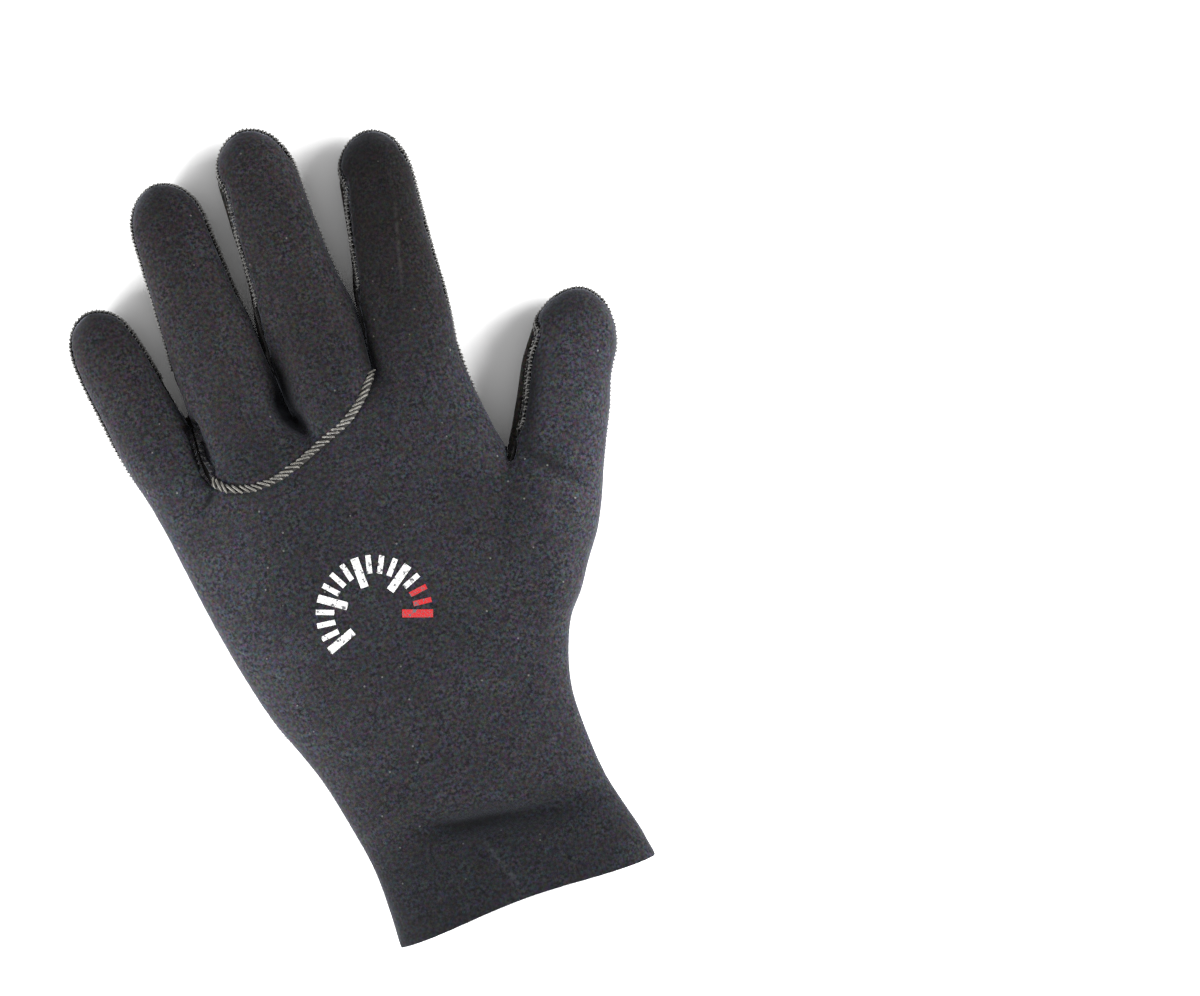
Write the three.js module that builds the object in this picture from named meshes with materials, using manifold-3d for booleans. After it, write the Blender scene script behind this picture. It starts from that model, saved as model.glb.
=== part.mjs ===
// Diving glove for the left hand, lying palm down on a flat surface.
// The shell is 3 mm neoprene in three sewn panels: the back of the hand with the whole wrist, an insert
// over the middle and ring knuckles, and the gripped palm. The cuff is open and every digit is hollow.
// Millimetres, +X to the thumb, +Y to the fingertips, +Z up out of the back of the hand.
import * as THREE from 'three';
import { mergeVertices } from 'three/addons/utils/BufferGeometryUtils.js';
import Module from 'manifold-3d';

const wasm = await Module();
wasm.setup();

// Cloth
const wall = 3;
const seamGap = 0.3;
const slitWidth = 0.8;

// Hand and wrist
const palmLength = 184;
const knuckleWidth = 118;
const handThickness = 33;
const wristWidth = 88;
const wristThickness = 28;
const cuffWidth = 90;
const cuffThickness = 28.6;
const restFlat = 1.8;
const webLength = 13;
const webThinning = 0.45;

// Digits: length from the crotch line to the tip, width and thickness of the shaft
const littleLength = 49;
const littleWidth = 25.2;
const littleThickness = 19;
const ringLength = 80.5;
const ringWidth = 28;
const ringThickness = 20.5;
const middleLength = 87.5;
const middleWidth = 29;
const middleThickness = 21.5;
const indexLength = 74;
const indexWidth = 27.4;
const indexThickness = 20.5;
const thumbLength = 55.5;
const thumbWidth = 32;
const thumbThickness = 22.5;
const fingerReach = 34;
const thumbReach = 64;
const digitRestFlat = 0.8;

// Rounded tip: its length as a share of the width, and how far round the last ring lies
const tipRoundness = 0.55;
const tipSweep = 1.45;

// Squareness of the oval sections: 2 is an ellipse
const digitSquareness = 2.2;
const handSquareness = 2.35;

// Facets, and how far cutting blocks run past the glove
const digitSides = 16;
const handSides = 36;
const ringStep = 10;
const tipRings = 4;
const beyond = 60;

const girths = {
  cuff: { width: cuffWidth, thickness: cuffThickness },
  wrist: { width: wristWidth, thickness: wristThickness },
  knuckles: { width: knuckleWidth, thickness: handThickness },
};

// Hand from the cuff to the crotches. along: share of palmLength. girth: whose width and thickness the
// other shares are of. little, thumb: how far the edge on that side lies from the middle line, as a share
// of half the width. top: share of the thickness.
const handSections = [
  { along: 0.0, girth: 'cuff', little: 0.996, thumb: 1.007, top: 1.0 },
  { along: 0.045, girth: 'cuff', little: 0.985, thumb: 0.986, top: 0.998 },
  { along: 0.09, girth: 'cuff', little: 0.978, thumb: 0.944, top: 0.985 },
  { along: 0.14, girth: 'wrist', little: 1.008, thumb: 0.898, top: 0.97 },
  { along: 0.19, girth: 'wrist', little: 1.033, thumb: 0.87, top: 0.978 },
  { along: 0.25, girth: 'wrist', little: 1.077, thumb: 0.861, top: 1.0 },
  { along: 0.31, girth: 'wrist', little: 1.126, thumb: 0.858, top: 1.02 },
  { along: 0.37, girth: 'wrist', little: 1.207, thumb: 0.9, top: 1.05 },
  { along: 0.43, girth: 'knuckles', little: 0.972, thumb: 0.765, top: 0.93 },
  { along: 0.49, girth: 'knuckles', little: 1.028, thumb: 0.79, top: 0.965 },
  { along: 0.55, girth: 'knuckles', little: 1.066, thumb: 0.79, top: 0.99 },
  { along: 0.63, girth: 'knuckles', little: 1.106, thumb: 0.771, top: 1.0 },
  { along: 0.71, girth: 'knuckles', little: 1.142, thumb: 0.771, top: 1.0 },
  { along: 0.79, girth: 'knuckles', little: 1.178, thumb: 0.754, top: 0.975 },
  { along: 0.87, girth: 'knuckles', little: 1.212, thumb: 0.72, top: 0.905 },
  { along: 0.94, girth: 'knuckles', little: 1.256, thumb: 0.704, top: 0.8 },
  { along: 1.0, girth: 'knuckles', little: 1.285, thumb: 0.7, top: 0.7 },
];

// Fingers. along: share of the length past the crotch line, negative inside the palm. width and
// thickness: shares of the shaft's. aside: shift to the thumb side, share of the width.
// lift: height of the middle above its lying height, share of the thickness.
const fingerSections = [
  { along: -0.45, width: 0.98, thickness: 1.12, aside: 0, lift: 0.12 },
  { along: -0.2, width: 1.08, thickness: 1.16, aside: 0, lift: 0.1 },
  { along: 0.0, width: 1.12, thickness: 1.1, aside: 0, lift: 0.06 },
  { along: 0.2, width: 1.12, thickness: 1.03, aside: 0, lift: 0.06 },
  { along: 0.4, width: 1.03, thickness: 1.0, aside: 0, lift: 0.09 },
  { along: 0.6, width: 0.97, thickness: 1.0, aside: 0, lift: 0.08 },
  { along: 0.8, width: 0.94, thickness: 0.95, aside: 0, lift: 0.03 },
  { along: 1.0, width: 0.87, thickness: 0.84, aside: 0, lift: 0 },
];

const littleSections = [
  { along: -0.7, width: 0.8, thickness: 1.2, aside: 0.06, lift: 0.15 },
  { along: -0.3, width: 0.95, thickness: 1.18, aside: 0.02, lift: 0.1 },
  { along: 0.0, width: 1.03, thickness: 1.1, aside: 0, lift: 0.06 },
  { along: 0.25, width: 0.99, thickness: 1.02, aside: 0, lift: 0.07 },
  { along: 0.5, width: 0.98, thickness: 1.0, aside: 0, lift: 0.07 },
  { along: 0.75, width: 0.93, thickness: 0.95, aside: 0, lift: 0.03 },
  { along: 1.0, width: 0.86, thickness: 0.84, aside: 0, lift: 0 },
];

const thumbSections = [
  { along: -1.15, width: 0.72, thickness: 0.9, aside: -0.1, lift: 0.08 },
  { along: -0.85, width: 0.97, thickness: 1.2, aside: -0.03, lift: 0.1 },
  { along: -0.6, width: 1.05, thickness: 1.28, aside: -0.04, lift: 0.1 },
  { along: -0.36, width: 1.12, thickness: 1.24, aside: -0.01, lift: 0.1 },
  { along: -0.15, width: 1.06, thickness: 1.14, aside: -0.01, lift: 0.08 },
  { along: 0.08, width: 1.02, thickness: 1.06, aside: -0.02, lift: 0.06 },
  { along: 0.27, width: 1.01, thickness: 1.02, aside: -0.02, lift: 0.05 },
  { along: 0.48, width: 0.98, thickness: 1.0, aside: -0.055, lift: 0.05 },
  { along: 0.66, width: 0.95, thickness: 0.97, aside: -0.02, lift: 0.03 },
  { along: 0.85, width: 0.88, thickness: 0.92, aside: -0.015, lift: 0.01 },
  { along: 1.0, width: 0.83, thickness: 0.84, aside: -0.01, lift: 0 },
];

// across: share of half the knuckle width. up: share of palmLength. lean: degrees off +Y to the thumb.
const digits = [
  { length: littleLength, width: littleWidth, thickness: littleThickness, reach: fingerReach,
    across: -1.08, up: 1, lean: -8.5, sections: littleSections },
  { length: ringLength, width: ringWidth, thickness: ringThickness, reach: fingerReach,
    across: -0.596, up: 1, lean: 0.2, sections: fingerSections },
  { length: middleLength, width: middleWidth, thickness: middleThickness, reach: fingerReach,
    across: -0.051, up: 1, lean: 0.8, sections: fingerSections },
  { length: indexLength, width: indexWidth, thickness: indexThickness, reach: fingerReach,
    across: 0.451, up: 1, lean: 8.3, sections: fingerSections },
  { length: thumbLength, width: thumbWidth, thickness: thumbThickness, reach: thumbReach,
    across: 1.022, up: 0.735, lean: 28.7, sections: thumbSections },
];
const [little, ring, middle, index, thumb] = digits;

// Lines between neighbouring digits, from the crotch out past the tips. heel: share of half the knuckle
// width where the line runs on over the heel of the hand. across, up: the crotch. lean: degrees.
const littleRingLine = { heel: -0.85, across: -0.85, up: 1.003, lean: -2.5 };
const ringMiddleLine = { heel: -0.327, across: -0.327, up: 0.962, lean: 0 };
const middleIndexLine = { heel: 0.215, across: 0.215, up: 0.985, lean: 3.5 };
const indexThumbLine = { heel: 0.35, across: 0.771, up: 0.779, lean: 17 };
const littleEdgeLine = { heel: -2, across: -2, up: 0.9, lean: 0 };
const thumbEdgeLine = { heel: 0.75, across: 1.35, up: 0.779, lean: 20 };
const farEdgeLine = { heel: 3, across: 3.5, up: 0.779, lean: 20 };

// Palm seam along both sides of each digit, from the little finger's outer side to the thumb's.
// offset: which side of the line, in slit widths. height: share of the digit's thickness.
const palmSeam = [
  { digit: little, line: littleEdgeLine, offset: 0, height: 0.55 },
  { digit: little, line: littleRingLine, offset: -0.5, height: 0.54 },
  { digit: ring, line: littleRingLine, offset: 0.5, height: 0.6 },
  { digit: ring, line: ringMiddleLine, offset: -0.5, height: 0.54 },
  { digit: middle, line: ringMiddleLine, offset: 0.5, height: 0.78 },
  { digit: middle, line: middleIndexLine, offset: -0.5, height: 0.4 },
  { digit: index, line: middleIndexLine, offset: 0.5, height: 0.78 },
  { digit: index, line: indexThumbLine, offset: -0.5, height: 0.38 },
  { digit: thumb, line: indexThumbLine, offset: 0.5, height: 0.88 },
  { digit: thumb, line: thumbEdgeLine, offset: 0, height: 0.36 },
  { digit: thumb, line: farEdgeLine, offset: 0, height: 0.36 },
];
const tipSeamHeight = 0.42;
const tipSeamStart = 0.78;
const tipSeamEnd = 0.92;

// U seam of the knuckle insert. across: share of half the knuckle width. up: share of palmLength.
const knuckleSeam = [
  { across: 0.19, up: 0.978 },
  { across: 0.103, up: 0.941 },
  { across: -0.017, up: 0.913 },
  { across: -0.17, up: 0.895 },
  { across: -0.33, up: 0.875 },
  { across: -0.475, up: 0.86 },
  { across: -0.63, up: 0.859 },
  { across: -0.76, up: 0.872 },
  { across: -0.836, up: 0.897 },
  { across: -0.846, up: 0.94 },
  { across: -0.848, up: 0.99 },
];

// Seam over the heel of the hand, on the palm side, from the little finger's edge to the thumb's edge.
const heelSeam = [
  { across: -1.5, up: 0.41 },
  { across: -0.95, up: 0.405 },
  { across: -0.6, up: 0.415 },
  { across: -0.2, up: 0.432 },
  { across: 0.2, up: 0.442 },
  { across: 0.5, up: 0.46 },
  { across: 0.75, up: 0.49 },
  { across: 1.1, up: 0.56 },
];
const heelUp = 0.4;

// Dents in the back. across, up: where. long, wide: half sizes, shares of palmLength. depth: share of
// handThickness. turn: degrees that the long way is turned off +X.
const wristCrease = { across: 0.1, up: 0.152, long: 0.2, wide: 0.035, depth: 0.07, turn: -10 };
const knuckleValley = { across: -0.327, up: 0.93, long: 0.035, wide: 0.06, depth: 0.16, turn: 0 };
const dents = [wristCrease, knuckleValley];

// Where the palm rests, as a share of palmLength
const restUp = 0.6;

// Row values between the rows of a table, by a smooth curve through them.
function tableCurve(rows, columns) {
  const places = rows.map((row) => row.along);
  const values = rows.flatMap((row) => columns.map((column) => row[column]));
  const curve = new THREE.CubicInterpolant(places, values, columns.length, new Float64Array(columns.length));
  return (along) => {
    const found = curve.evaluate(THREE.MathUtils.clamp(along, places[0], places.at(-1)));
    return Object.fromEntries(columns.map((column, i) => [column, found[i]]));
  };
}

// Shrink towards a rounded end: 1 inside, falling to 0 at the end itself.
function roundEnd(distance, roundLength) {
  const share = THREE.MathUtils.clamp(1 - distance / roundLength, 0, 1);
  return Math.sqrt(1 - share * share);
}

// One oval section, slightly squared, in the plane of the two directions.
function ovalRing(centre, across, up, halfWidth, halfHeight, sides, squareness) {
  return Array.from({ length: sides }, (_, i) => {
    const angle = (2 * Math.PI * i) / sides;
    const x = Math.sign(Math.cos(angle)) * Math.abs(Math.cos(angle)) ** (2 / squareness);
    const z = Math.sign(Math.sin(angle)) * Math.abs(Math.sin(angle)) ** (2 / squareness);
    return centre.clone().addScaledVector(across, x * halfWidth).addScaledVector(up, z * halfHeight);
  });
}

function solidFrom(vertProperties, triVerts) {
  return new wasm.Manifold(new wasm.Mesh({ numProp: 3, vertProperties, triVerts }));
}

function solidFromPoints(points, triangles) {
  return solidFrom(new Float32Array(points.flatMap((p) => p.toArray())), new Uint32Array(triangles));
}

function solidFromGeometry(geometry) {
  geometry.deleteAttribute('normal');
  geometry.deleteAttribute('uv');
  const merged = mergeVertices(geometry);
  return solidFrom(merged.getAttribute('position').array, new Uint32Array(merged.index.array));
}

// Closed solid through a row of rings, each with its points counter-clockwise seen from the far end.
function loft(rings) {
  const sides = rings[0].length;
  const middle = (ring) => ring.reduce((sum, p) => sum.add(p), new THREE.Vector3()).divideScalar(sides);
  const points = [...rings.flat(), middle(rings[0]), middle(rings.at(-1))];
  const first = rings.length * sides;
  const triangles = [];
  for (let i = 0; i < sides; i += 1) {
    const next = (i + 1) % sides;
    const end = (rings.length - 1) * sides;
    triangles.push(first, i, next);
    triangles.push(first + 1, end + next, end + i);
    for (let r = 0; r < rings.length - 1; r += 1) {
      const a = r * sides;
      const b = a + sides;
      triangles.push(a + i, b + i, b + next);
      triangles.push(a + i, b + next, a + next);
    }
  }
  return solidFromPoints(points, triangles);
}

function planPoint(place) {
  return new THREE.Vector3((place.across * knuckleWidth) / 2, place.up * palmLength, 0);
}

function leanDirection(degrees) {
  const angle = THREE.MathUtils.degToRad(degrees);
  return new THREE.Vector3(Math.sin(angle), Math.cos(angle), 0);
}

const upward = new THREE.Vector3(0, 0, 1);

// A digit, rounded at the tip, set in from its outside by inset.
function digitSolid(digit, inset) {
  const at = tableCurve(digit.sections, ['width', 'thickness', 'aside', 'lift']);
  const direction = leanDirection(digit.lean);
  const side = direction.clone().cross(upward);
  const length = digit.length - inset;
  const roundLength = tipRoundness * digit.width - inset;
  const shaftLength = digit.reach + length - roundLength;
  const shaftRings = Math.round(shaftLength / ringStep);
  const places = Array.from({ length: shaftRings }, (_, i) => -digit.reach + (shaftLength * i) / shaftRings);
  for (let i = 0; i <= tipRings; i += 1) {
    places.push(length - roundLength * (1 - Math.sin((i / tipRings) * tipSweep)));
  }
  const rings = places.map((place) => {
    const row = at(place / digit.length);
    const shrink = roundEnd(length - place, roundLength);
    const halfHeight = (row.thickness * digit.thickness) / 2;
    const lying = halfHeight - digitRestFlat + row.lift * digit.thickness;
    const centre = planPoint(digit)
      .addScaledVector(direction, place)
      .addScaledVector(side, row.aside * digit.width)
      .addScaledVector(upward, lying);
    const halfWide = ((row.width * digit.width) / 2 - inset) * shrink;
    const halfHigh = (halfHeight - inset) * shrink;
    return ovalRing(centre, side, upward, halfWide, halfHigh, digitSides, digitSquareness);
  });
  return loft(rings);
}

function dentDepth(point) {
  return dents.reduce((depth, dent) => {
    const from = point.clone().sub(planPoint(dent));
    const turn = THREE.MathUtils.degToRad(dent.turn);
    const along = (from.x * Math.cos(turn) + from.y * Math.sin(turn)) / (dent.long * palmLength);
    const over = (from.y * Math.cos(turn) - from.x * Math.sin(turn)) / (dent.wide * palmLength);
    return depth + dent.depth * handThickness * Math.exp(-along * along - over * over);
  }, 0);
}

// Hand and wrist, open towards the cuff, thinning to the web at the crotches.
function handSolid(inset) {
  const sections = handSections.map((row) => {
    const { width, thickness } = girths[row.girth];
    const edges = { little: (-row.little * width) / 2, thumb: (row.thumb * width) / 2 };
    return { along: row.along, ...edges, thickness: row.top * thickness };
  });
  const at = tableCurve(sections, ['little', 'thumb', 'thickness']);
  const length = palmLength - inset;
  const ringCount = Math.round(length / ringStep);
  const places = Array.from({ length: ringCount + 1 }, (_, i) => (length * i) / ringCount);
  if (inset > 0) {
    places.unshift(-beyond);
  }
  const across = new THREE.Vector3(1, 0, 0);
  const rings = places.map((place) => {
    const row = at(place / palmLength);
    const webShare = THREE.MathUtils.clamp((place - length + webLength) / webLength, 0, 1);
    const halfHeight = (row.thickness / 2) * (1 - webThinning * webShare ** 2) - inset;
    const lying = row.thickness / 2 - restFlat;
    const centre = new THREE.Vector3((row.little + row.thumb) / 2, place, lying);
    const halfWidth = (row.thumb - row.little) / 2 - inset;
    const ring = ovalRing(centre, across, upward, halfWidth, halfHeight, handSides, handSquareness);
    ring.forEach((p) => {
      p.z -= dentDepth(p) * Math.max((p.z - lying) / halfHeight, 0);
    });
    return ring;
  });
  return loft(rings);
}

// Straight-sided block over a plan outline, from well below the glove to well above it.
function planBlock(points) {
  const outline = new THREE.Shape(points.map((p) => new THREE.Vector2(p.x, p.y)));
  const height = 4 * handThickness;
  const geometry = new THREE.ExtrudeGeometry(outline, { depth: height, bevelEnabled: false });
  geometry.translate(0, 0, -height / 2);
  return solidFromGeometry(geometry);
}

// Everything under the palm seam, raised or lowered by shift.
function underSeamSheet(shift) {
  const columns = palmSeam.map(({ digit, line, offset, height }) => {
    const crotch = planPoint(line);
    const sideways = offset * slitWidth;
    const rootY = planPoint(digit).y;
    const tipY = rootY + digit.length * leanDirection(digit.lean).y;
    const sideZ = height * digit.thickness + shift;
    const tipZ = tipSeamHeight * digit.thickness + shift;
    const onLine = (y, z) => {
      const slope = leanDirection(line.lean);
      return new THREE.Vector3(crotch.x + sideways + ((y - crotch.y) * slope.x) / slope.y, y, z);
    };
    const heel = planPoint({ across: line.heel, up: heelUp });
    return [
      new THREE.Vector3(heel.x + sideways, -beyond, sideZ),
      new THREE.Vector3(heel.x + sideways, heel.y, sideZ),
      onLine(crotch.y, sideZ),
      onLine(THREE.MathUtils.lerp(rootY, tipY, tipSeamStart), sideZ),
      onLine(THREE.MathUtils.lerp(rootY, tipY, tipSeamEnd), tipZ),
      onLine(palmLength + middleLength + beyond, tipZ),
    ];
  });
  const rows = columns[0].map((_, r) => columns.map((column) => column[r]));
  const bottom = rows.map((row) => row.map((p) => new THREE.Vector3(p.x, p.y, -beyond)));
  return sheetSolid(rows, bottom);
}

// Solid between an upper and a lower grid of points, rows along Y, columns along X.
function sheetSolid(upper, lower) {
  const columns = upper[0].length;
  const rows = upper.length;
  const points = [...upper.flat(), ...lower.flat()];
  const triangles = [];
  const quad = (a, b, c, d) => triangles.push(a, b, c, a, c, d);
  const up = (r, c) => r * columns + c;
  const down = (r, c) => rows * columns + up(r, c);
  for (let r = 0; r < rows - 1; r += 1) {
    for (let c = 0; c < columns - 1; c += 1) {
      quad(up(r, c), up(r, c + 1), up(r + 1, c + 1), up(r + 1, c));
      quad(down(r, c), down(r + 1, c), down(r + 1, c + 1), down(r, c + 1));
    }
    quad(up(r, 0), up(r + 1, 0), down(r + 1, 0), down(r, 0));
    quad(up(r, columns - 1), down(r, columns - 1), down(r + 1, columns - 1), up(r + 1, columns - 1));
  }
  for (let c = 0; c < columns - 1; c += 1) {
    quad(up(0, c), down(0, c), down(0, c + 1), up(0, c + 1));
    quad(up(rows - 1, c), up(rows - 1, c + 1), down(rows - 1, c + 1), down(rows - 1, c));
  }
  return solidFromPoints(points, triangles);
}

// Plan outline moved sideways by offset, to the left of its direction of travel.
function moved(points, offset) {
  return points.map((p, i) => {
    const before = points[Math.max(i - 1, 0)];
    const after = points[Math.min(i + 1, points.length - 1)];
    const travel = after.clone().sub(before).normalize();
    return p.clone().add(new THREE.Vector3(-travel.y, travel.x, 0).multiplyScalar(offset));
  });
}

function lineEnd(line) {
  return planPoint(line).addScaledVector(leanDirection(line.lean), middleLength + beyond);
}

// Plan region of the knuckle insert, grown by grow: the U seam and the lines between the digits.
function knuckleBlock(grow) {
  const path = [lineEnd(middleIndexLine), planPoint(middleIndexLine), ...knuckleSeam.map(planPoint),
    planPoint(littleRingLine), lineEnd(littleRingLine)];
  return planBlock(moved(path, grow));
}

// Plan region of the palm panel, grown by grow: everything past the heel seam.
function palmBlock(grow) {
  const path = moved(heelSeam.map(planPoint), -grow);
  const far = 2 * knuckleWidth;
  const tipY = palmLength + middleLength + beyond;
  const corner = (side, y) => new THREE.Vector3(side * far, y, 0);
  const ends = [corner(1, path.at(-1).y), corner(1, tipY), corner(-1, tipY), corner(-1, path[0].y)];
  return planBlock([...path, ...ends]);
}

// Thin block between two neighbouring fingers, so that they press together without being one.
function slitBlock(line, inset) {
  const along = leanDirection(line.lean);
  const half = slitWidth / 2 + inset;
  const start = planPoint(line).addScaledVector(along, -inset);
  const corners = [[start, -half], [start, half], [lineEnd(line), half], [lineEnd(line), -half]];
  return planBlock(corners.map(([p, sideways]) => new THREE.Vector3(p.x + sideways, p.y, 0)));
}

// Everything below a height.
function floorBlock(height) {
  const size = 8 * knuckleWidth;
  return solidFromGeometry(new THREE.BoxGeometry(size, size, size).translate(0, 0, height - size / 2));
}

// The glove's form set in from its outside by inset, flat where it rests and parted between the fingers.
function gloveForm(inset) {
  const whole = digits.reduce((sum, digit) => sum.add(digitSolid(digit, inset)), handSolid(inset));
  const fingerLines = [littleRingLine, ringMiddleLine, middleIndexLine];
  return fingerLines.reduce((form, line) => form.subtract(slitBlock(line, inset)), whole)
    .subtract(floorBlock(inset));
}

const shell = gloveForm(0).subtract(gloveForm(wall));
const halfGap = seamGap / 2;
const palmSolid = shell.intersect(underSeamSheet(-halfGap)).intersect(palmBlock(-halfGap));
const knuckleSolid = shell.subtract(underSeamSheet(halfGap)).intersect(knuckleBlock(-halfGap));
const backSolid = shell.subtract(underSeamSheet(halfGap).intersect(palmBlock(halfGap)))
  .subtract(knuckleBlock(halfGap));

function meshOf(name, solid, color, roughness) {
  const { vertProperties, triVerts } = solid.getMesh();
  const geometry = new THREE.BufferGeometry();
  geometry.setAttribute('position', new THREE.BufferAttribute(vertProperties, 3));
  geometry.setIndex(new THREE.BufferAttribute(triVerts, 1));
  geometry.computeVertexNormals();
  const mesh = new THREE.Mesh(geometry, new THREE.MeshStandardMaterial({ color, roughness, metalness: 0 }));
  mesh.name = name;
  return mesh;
}

const glove = new THREE.Group();
glove.add(meshOf('back_panel', backSolid, 0x34353b, 0.85));
glove.add(meshOf('knuckle_panel', knuckleSolid, 0x33343a, 0.85));
glove.add(meshOf('palm_panel', palmSolid, 0x262421, 0.9));
glove.position.set(0, -restUp * palmLength, 0);

export default glove;
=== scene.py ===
"""A neoprene diving glove for the left hand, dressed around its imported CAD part."""

import math

import bmesh
import bpy
import numpy as np
from mathutils import Euler, Matrix, Vector, noise
from mathutils.bvhtree import BVHTree
from mathutils.kdtree import KDTree


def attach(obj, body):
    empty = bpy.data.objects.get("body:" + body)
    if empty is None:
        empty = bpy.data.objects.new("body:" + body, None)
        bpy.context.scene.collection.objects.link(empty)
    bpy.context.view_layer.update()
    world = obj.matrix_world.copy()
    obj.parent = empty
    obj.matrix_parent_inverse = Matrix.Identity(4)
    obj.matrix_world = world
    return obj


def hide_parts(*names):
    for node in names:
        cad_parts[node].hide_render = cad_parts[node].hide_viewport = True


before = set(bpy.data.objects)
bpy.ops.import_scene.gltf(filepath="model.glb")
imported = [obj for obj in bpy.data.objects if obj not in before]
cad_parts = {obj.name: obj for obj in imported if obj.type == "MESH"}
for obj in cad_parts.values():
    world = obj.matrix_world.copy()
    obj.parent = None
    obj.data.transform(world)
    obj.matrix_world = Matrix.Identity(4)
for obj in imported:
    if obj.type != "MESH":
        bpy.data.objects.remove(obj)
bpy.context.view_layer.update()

# Seam lines: the three panels meet edge to edge, 0.3 mm apart in the frame. The palm panel's outline
# runs up and down every digit and over the heel of the hand, and the knuckle insert's outline adds
# the U across the back of the hand. Both are read off the frame's own solids, along their outer faces.
MM = 0.001
PANELS = ("back_panel", "knuckle_panel", "palm_panel")
seam_step = 0.5 * MM
seam_softening = 1.6 * MM


def welded(node):
    """A copy of one solid of the frame, its loose triangles joined."""
    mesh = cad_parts[node].data.copy()
    bm = bmesh.new()
    bm.from_mesh(mesh)
    bmesh.ops.remove_doubles(bm, verts=bm.verts, dist=0.005 * MM)
    bm.to_mesh(mesh)
    bm.free()
    return mesh


def surface_of(mesh):
    return BVHTree.FromPolygons([v.co for v in mesh.vertices], [p.vertices for p in mesh.polygons])


solids = {name: welded(name) for name in PANELS}
surfaces = {name: surface_of(solids[name]) for name in PANELS}
UP = Vector((0, 0, 1))


def in_the_hollow(point, reach=60 * MM):
    """True inside the glove: there is cloth both above and below."""
    return all(any(s.ray_cast(point, way, reach)[0] for s in surfaces.values()) for way in (UP, -UP))


def seam_faces(bm, name, reach=0.5 * MM):
    """The narrow faces of a panel that look at another panel across the gap."""
    found = set()
    for face in bm.faces:
        middle = face.calc_center_median()
        for other in PANELS:
            if other == name:
                continue
            spot, normal, _, _ = surfaces[other].find_nearest(middle, reach)
            if spot is not None and normal.dot(face.normal) < -0.5:
                found.add(face)
    return found


def outline(name):
    """The lines where a panel's seam faces meet its outer face, longest first."""
    bm = bmesh.new()
    bm.from_mesh(solids[name])
    facing = seam_faces(bm, name)
    beside = {}
    for edge in bm.edges:
        pair = edge.link_faces
        if len(pair) != 2 or (pair[0] in facing) == (pair[1] in facing):
            continue
        cloth = pair[1] if pair[0] in facing else pair[0]
        if in_the_hollow(cloth.calc_center_median() + cloth.normal * 0.5 * MM):
            continue
        for a, b in (edge.verts, reversed(edge.verts)):
            beside.setdefault(a.index, []).append(b.index)
    spots = [v.co.copy() for v in bm.verts]
    bm.free()
    lines, left = [], dict(beside)
    while left:
        line = [next(iter(left))]
        left.pop(line[0])
        for end in (-1, 0):
            after = [n for n in beside[line[end]] if n in left]
            while after:
                left.pop(after[0])
                line.insert(len(line) if end else 0, after[0])
                after = [n for n in beside[line[end]] if n in left]
        lines.append([spots[i] for i in line])
    return sorted(lines, key=len, reverse=True)


def evened(line, closed):
    """The line as an array of points one seam step apart, with its corners rounded."""
    points = np.array([p[:] for p in line] + ([line[0][:]] if closed else []))
    runs = np.r_[0, np.cumsum(np.linalg.norm(np.diff(points, axis=0), axis=1))]
    stops = np.arange(0, runs[-1], seam_step)
    even = np.stack([np.interp(stops, runs, points[:, k]) for k in range(3)], 1)
    reach = int(3 * seam_softening / seam_step)
    weights = np.exp(-0.5 * (np.arange(-reach, reach + 1) * seam_step / seam_softening) ** 2)
    padded = np.pad(even, ((reach, reach), (0, 0)), mode="wrap" if closed else "edge")
    return np.stack([np.convolve(padded[:, k], weights / weights.sum(), "valid") for k in range(3)], 1)


def end_to_end(first, second):
    """Two open lines joined where their ends are nearest."""
    options = [(first, second), (first, second[::-1]), (first[::-1], second), (first[::-1], second[::-1])]
    return sum(min(options, key=lambda pair: (pair[0][-1] - pair[1][0]).length), [])


palm_seam = evened(end_to_end(*outline("palm_panel")[:2]), True)
palm_cloth = surfaces["palm_panel"]
insert_line = outline("knuckle_panel")[0]
off_the_palm = [palm_cloth.find_nearest(p)[3] > 0.9 * MM for p in insert_line]
first, last = off_the_palm.index(True), len(off_the_palm) - off_the_palm[::-1].index(True)
knuckle_seam = evened(insert_line[first:last], False)

seam_spots = np.vstack([palm_seam, knuckle_seam])
near_seams = KDTree(len(seam_spots))
for i, spot in enumerate(seam_spots):
    near_seams.insert(spot, i)
near_seams.balance()

# Cloth: 3 mm closed-cell neoprene with a charcoal jersey on both faces, cut as a back panel, a
# knuckle insert and a gripped palm panel. Each is remeshed from its solid, its facets are relaxed
# away, and along the seams the cloth is drawn down and puckered by the thread.
voxel = 0.8 * MM
relaxing_rounds, rim_rounds = 55, 7
held_margin = 3.5 * MM
cuff_edge = -110.4 * MM
pucker_depth, pucker_width, pucker_pitch = 0.22 * MM, 4.5 * MM, 4.0 * MM
swell_height, swell_pitch = 0.4 * MM, 26 * MM
groove_depth, groove_width = 0.7 * MM, 1.5 * MM
fold_depth, fold_width, fold_run = 2.1 * MM, 3.8 * MM, 5 * MM
lining_share, lining_margin = 0.12, 4.5 * MM
FACE, LINING, EDGE = 0, 1, 2


def face_kinds(name):
    """Which faces of a panel's solid are outer face, lining or cut edge."""
    bm = bmesh.new()
    bm.from_mesh(solids[name])
    cut = seam_faces(bm, name)
    kinds = []
    for face in bm.faces:
        middle = face.calc_center_median()
        if face in cut or (face.normal.y < -0.9 and middle.y < cuff_edge + 0.1 * MM):
            kinds.append(EDGE)
        else:
            kinds.append(LINING if in_the_hollow(middle + face.normal * 0.5 * MM) else FACE)
    bm.free()
    return kinds


def worked(piece):
    """The piece's mesh as its modifiers leave it."""
    return bpy.data.meshes.new_from_object(piece.evaluated_get(bpy.context.evaluated_depsgraph_get()))


def placed(name, mesh):
    piece = bpy.data.objects.new(name, mesh)
    bpy.context.collection.objects.link(piece)
    return piece


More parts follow.
